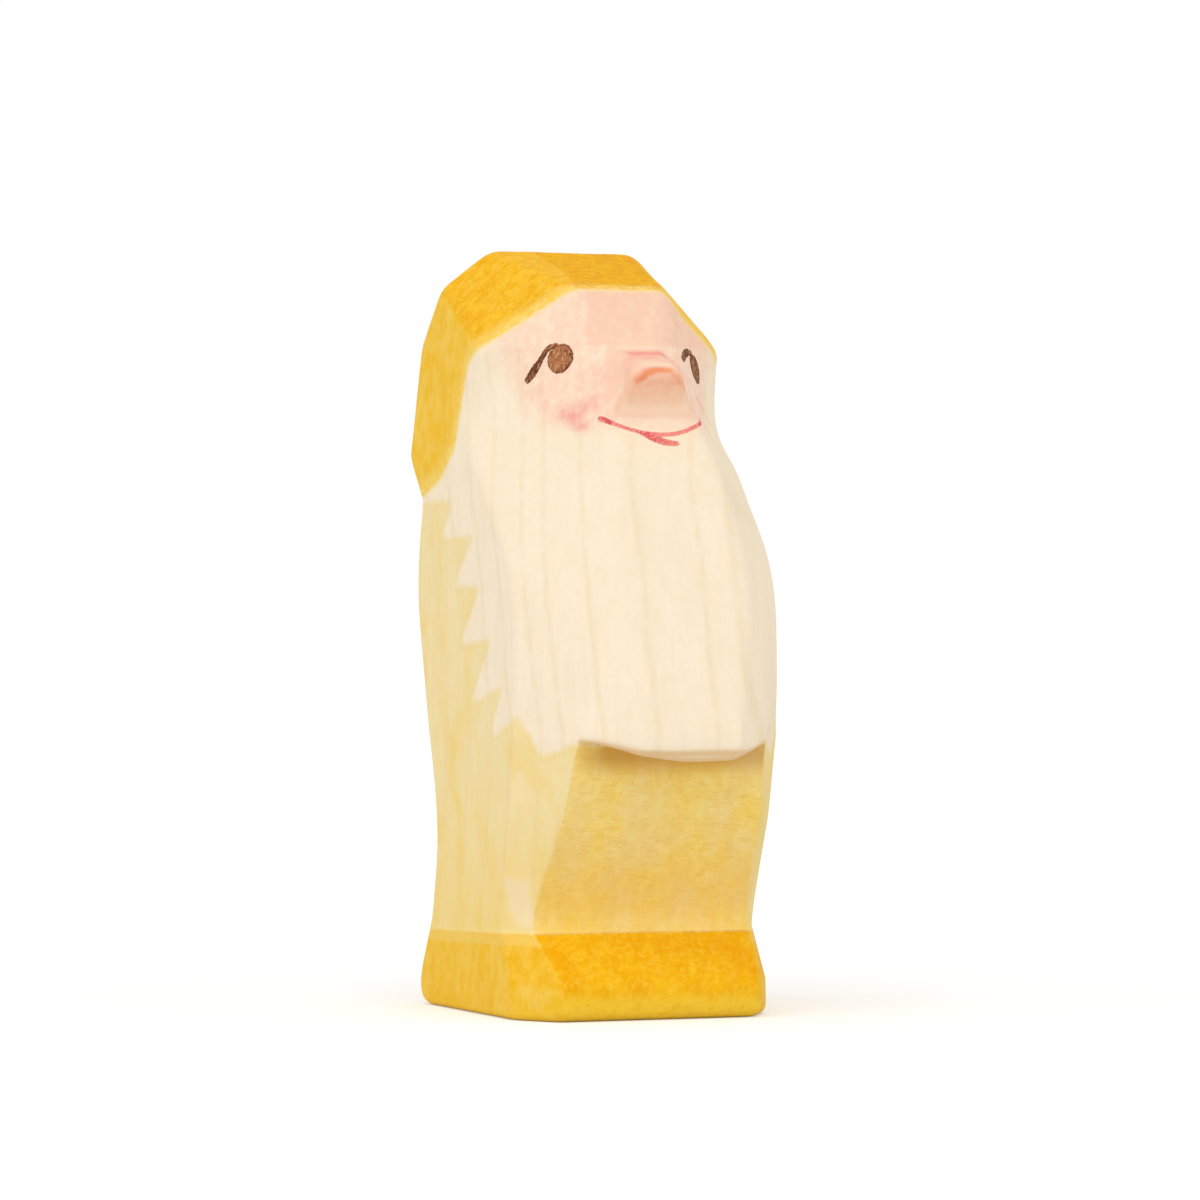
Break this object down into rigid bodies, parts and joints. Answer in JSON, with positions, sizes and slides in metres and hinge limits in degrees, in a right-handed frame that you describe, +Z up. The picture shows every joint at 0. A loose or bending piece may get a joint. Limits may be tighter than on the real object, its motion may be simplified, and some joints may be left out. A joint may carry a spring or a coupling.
{
  "type": "wooden dwarf figure",
  "caption": "Hand-carved wooden dwarf figure: faceted hood and face, wedge nose, long undercut beard, robe and flat foot block.",
  "frame": {"origin": "centre of the bounding box at the flat sole", "axes": "+Z up, from the sole to the crown; the face looks along -Y; +X is the figure's left"},
  "size_m": [0.0292, 0.0442, 0.08],
  "materials": {
    "hood_stain": "golden yellow water stain on carved maple, silk",
    "face_stain": "thin pink stain on carved maple, silk",
    "nose_stain": "pink to orange stain on carved maple, silk",
    "bare_maple": "bare carved maple, silk",
    "robe_stain": "thin yellow stain on carved maple, silk",
    "foot_stain": "deep golden stain on carved maple, silk",
    "eye_pencil": "brown coloured pencil on wood, matt",
    "mouth_pencil": "red coloured pencil on wood, matt"
  },
  "bodies": {
    "root": {"hood": "hood_stain", "face": "face_stain", "nose": "nose_stain", "beard": "bare_maple", "robe": "robe_stain", "feet": "foot_stain", "right_eye": "eye_pencil", "left_eye": "eye_pencil", "mouth": "mouth_pencil"}
  },
  "joints": []
}
